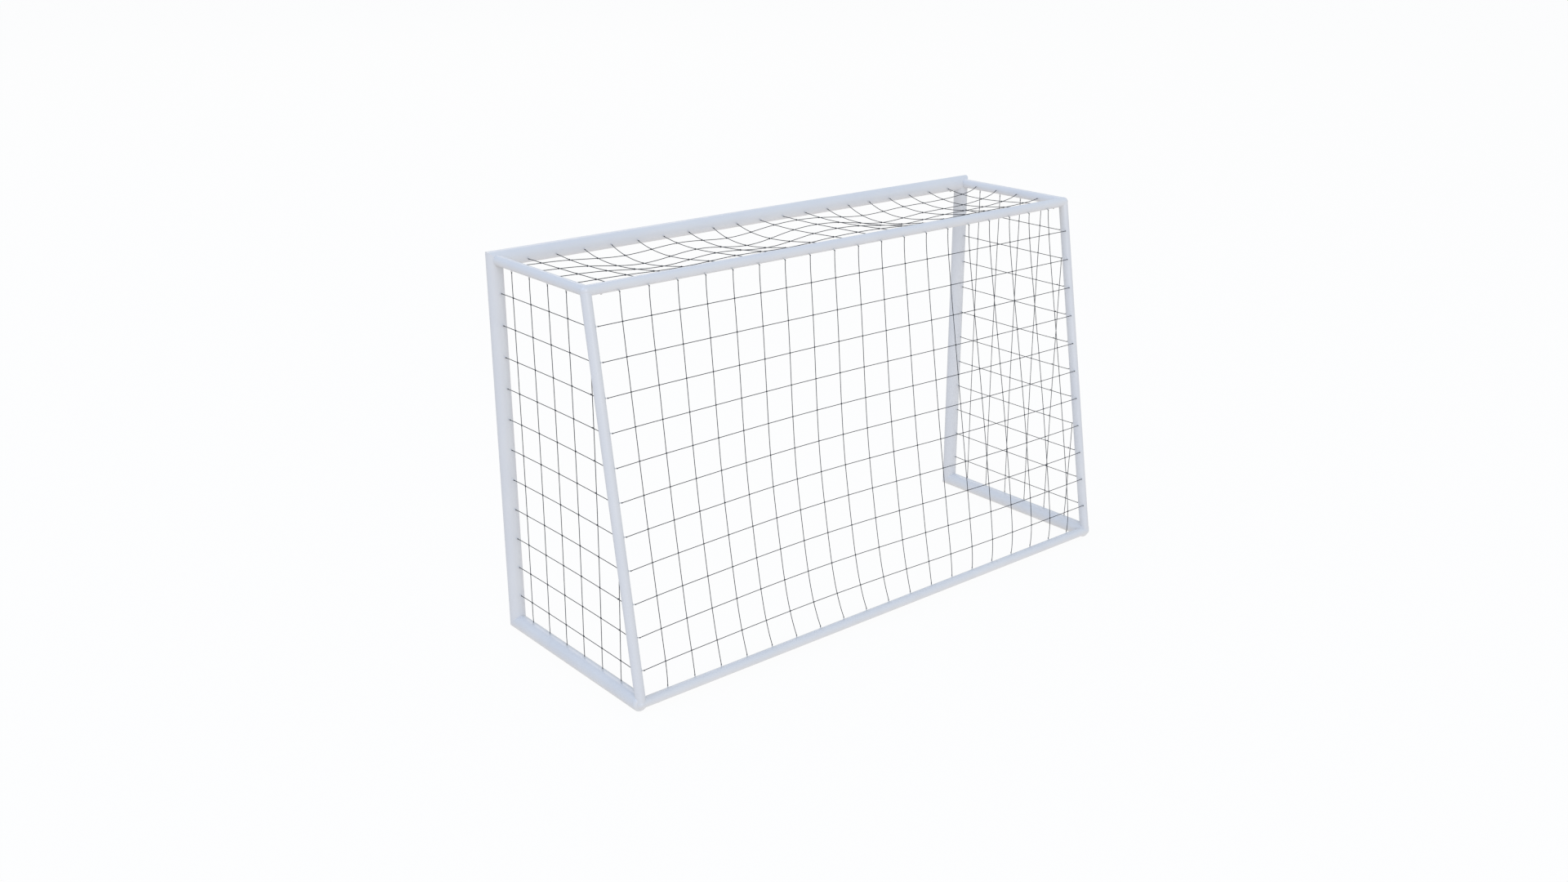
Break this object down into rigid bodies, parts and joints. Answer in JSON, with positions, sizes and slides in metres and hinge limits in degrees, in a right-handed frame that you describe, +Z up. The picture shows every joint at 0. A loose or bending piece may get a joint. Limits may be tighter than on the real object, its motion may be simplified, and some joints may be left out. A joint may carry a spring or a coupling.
{
  "type": "soccer goal frame",
  "caption": "Small free-standing soccer goal: round white steel tube frame with a leaning back, open mouth and square-mesh net on the back, sides and top.",
  "frame": {"origin": "on the floor, under the middle of the footprint", "axes": "+Z up, the goal mouth faces -Y, +X is to the right as seen from the field"},
  "size_m": [2.0508, 0.742, 1.2508],
  "materials": {
    "white_powder_coat": "smooth satin powder coat, cool white",
    "insert_nylon": "moulded glass-filled nylon",
    "screw_steel": "stainless steel, dull",
    "eyelet_nylon": "moulded natural nylon, pale grey-white",
    "net_twine": "three-strand twisted polyethylene twine, dark blue-grey",
    "button_steel": "zinc-plated steel",
    "spring_steel": "drawn spring wire"
  },
  "bodies": {
    "frame": {"crossbar": "white_powder_coat", "post_left": "white_powder_coat", "post_right": "white_powder_coat", "ground_bar_left": "white_powder_coat", "ground_bar_right": "white_powder_coat", "top_side_bar_left": "white_powder_coat", "top_side_bar_right": "white_powder_coat", "stanchion_left": "white_powder_coat", "stanchion_right": "white_powder_coat", "rear_top_bar": "white_powder_coat", "rear_bottom_bar": "white_powder_coat", "rear_top_corner_left": "white_powder_coat", "rear_top_corner_right": "white_powder_coat", "rear_foot_corner_left": "white_powder_coat", "rear_foot_corner_right": "white_powder_coat", "top_corner_insert_left": "insert_nylon", "top_corner_insert_right": "insert_nylon", "front_foot_insert_left": "insert_nylon", "front_foot_insert_right": "insert_nylon", "frame_screws_left": "screw_steel", "frame_screws_right": "screw_steel", "net_clips_back": "eyelet_nylon", "net_clips_left": "eyelet_nylon", "net_clips_right": "eyelet_nylon", "net_clips_top": "eyelet_nylon", "net_back": "net_twine", "net_left": "net_twine", "net_right": "net_twine", "net_top": "net_twine", "spring_crossbar_left": "spring_steel", "spring_crossbar_right": "spring_steel", "spring_rear_top_left": "spring_steel", "spring_rear_top_right": "spring_steel", "spring_rear_bottom_left": "spring_steel", "spring_rear_bottom_right": "spring_steel"},
    "button_crossbar_left": {"button_crossbar_left": "button_steel"},
    "button_crossbar_right": {"button_crossbar_right": "button_steel"},
    "button_rear_top_left": {"button_rear_top_left": "button_steel"},
    "button_rear_top_right": {"button_rear_top_right": "button_steel"},
    "button_rear_bottom_left": {"button_rear_bottom_left": "button_steel"},
    "button_rear_bottom_right": {"button_rear_bottom_right": "button_steel"}
  },
  "joints": [
    {"name": "press_crossbar_left", "type": "slide", "parent": "frame", "child": "button_crossbar_left", "axis": [0, 0, 1], "range_m": [0, 0.0062], "stiffness_N_per_m": 1500, "springref_m": -0.004, "deforming": ["spring_crossbar_left"]},
    {"name": "press_crossbar_right", "type": "slide", "parent": "frame", "child": "button_crossbar_right", "axis": [0, 0, 1], "range_m": [0, 0.0062], "stiffness_N_per_m": 1500, "springref_m": -0.004, "deforming": ["spring_crossbar_right"]},
    {"name": "press_rear_top_left", "type": "slide", "parent": "frame", "child": "button_rear_top_left", "axis": [0, 0, 1], "range_m": [0, 0.0047], "stiffness_N_per_m": 1500, "springref_m": -0.004, "deforming": ["spring_rear_top_left"]},
    {"name": "press_rear_top_right", "type": "slide", "parent": "frame", "child": "button_rear_top_right", "axis": [0, 0, 1], "range_m": [0, 0.0047], "stiffness_N_per_m": 1500, "springref_m": -0.004, "deforming": ["spring_rear_top_right"]},
    {"name": "press_rear_bottom_left", "type": "slide", "parent": "frame", "child": "button_rear_bottom_left", "axis": [0, 0, 1], "range_m": [0, 0.0047], "stiffness_N_per_m": 1500, "springref_m": -0.004, "deforming": ["spring_rear_bottom_left"]},
    {"name": "press_rear_bottom_right", "type": "slide", "parent": "frame", "child": "button_rear_bottom_right", "axis": [0, 0, 1], "range_m": [0, 0.0047], "stiffness_N_per_m": 1500, "springref_m": -0.004, "deforming": ["spring_rear_bottom_right"]}
  ]
}
